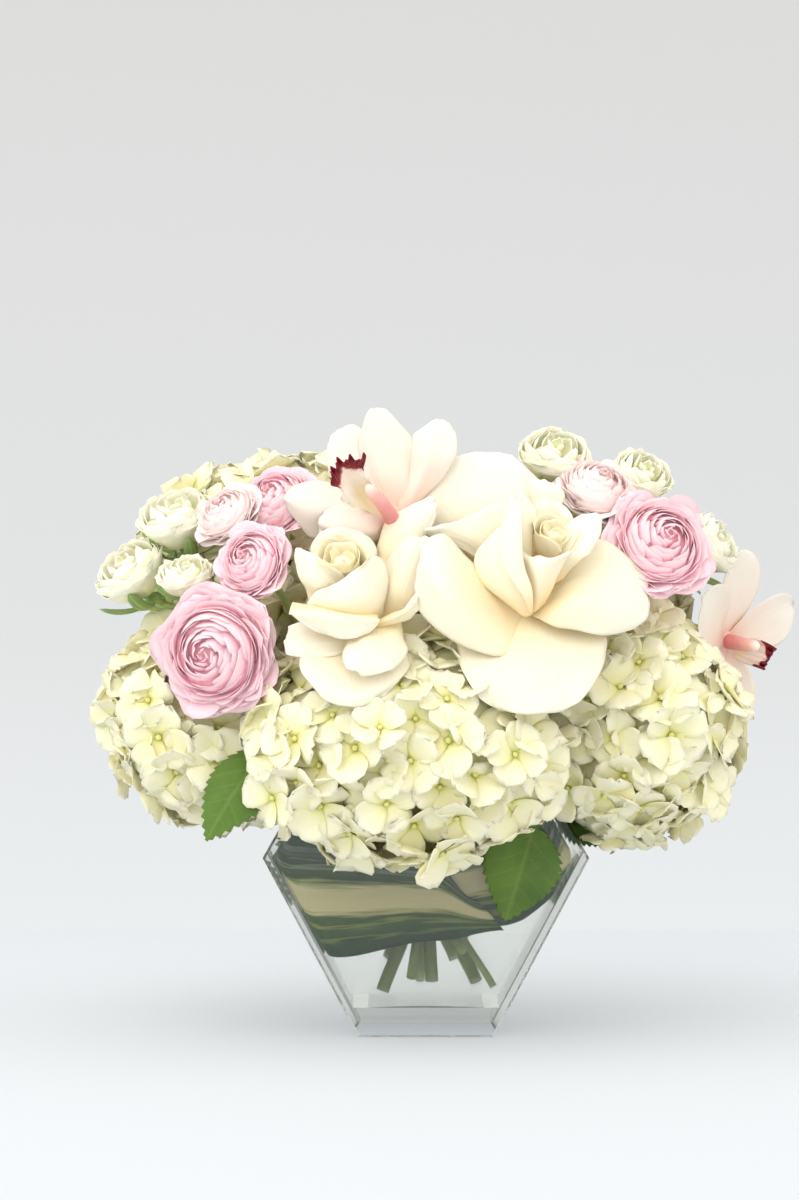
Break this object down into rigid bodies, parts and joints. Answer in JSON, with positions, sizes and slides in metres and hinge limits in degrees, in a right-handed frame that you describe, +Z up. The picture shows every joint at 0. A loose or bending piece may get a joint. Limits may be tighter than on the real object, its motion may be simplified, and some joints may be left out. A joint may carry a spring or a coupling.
{
  "type": "floral table centerpiece",
  "caption": "Low domed bouquet of hydrangea, roses, ranunculus and orchids in a six-sided clear glass vase lined with a variegated leaf.",
  "frame": {"origin": "middle of the vase's flat base, on the table", "axes": "+Z up; -Y is the front face of the vase; +X to the right seen from the front, along the wide way of the vase"},
  "size_m": [0.3413, 0.2643, 0.3062],
  "materials": {
    "glass": "clear polished",
    "water": "clear",
    "liner": "waxy leaf, cream middle and dark green margins",
    "stem": "matt green",
    "leaf": "satin leaf",
    "hydrangea": "soft petal",
    "rose": "soft petal",
    "spray_rose": "soft petal",
    "ranunculus_pink": "soft petal",
    "ranunculus_pale": "soft petal",
    "orchid": "waxy petal",
    "column": "waxy"
  },
  "bodies": {
    "root": {"glass_vase": "glass", "hydrangea_back": "hydrangea", "hydrangea_front": "hydrangea", "hydrangea_left": "hydrangea", "hydrangea_left_back": "hydrangea", "hydrangea_right": "hydrangea", "hydrangea_right_back": "hydrangea", "hydrangea_upper_left": "hydrangea", "hydrangea_upper_right": "hydrangea", "leaf_back_left": "leaf", "leaf_back_right": "leaf", "leaf_front_right": "leaf", "leaf_left": "leaf", "leaf_right": "leaf", "liner_leaf": "liner", "orchid_right": "orchid", "orchid_right_column": "column", "orchid_top": "orchid", "orchid_top_column": "column", "ranunculus_back_left": "ranunculus_pink", "ranunculus_back_right": "ranunculus_pink", "ranunculus_behind_rose": "ranunculus_pale", "ranunculus_beside_rose": "ranunculus_pink", "ranunculus_left": "ranunculus_pink", "ranunculus_pale": "ranunculus_pale", "ranunculus_right": "ranunculus_pink", "ranunculus_upper": "ranunculus_pink", "rose_back": "rose", "rose_cupped": "rose", "rose_open": "rose", "spray_rose_back": "spray_rose", "spray_rose_left_1": "spray_rose", "spray_rose_left_2": "spray_rose", "spray_rose_left_3": "spray_rose", "spray_rose_right_1": "spray_rose", "spray_rose_right_2": "spray_rose", "spray_rose_right_3": "spray_rose", "stem_bundle": "stem", "water": "water"}
  },
  "joints": []
}
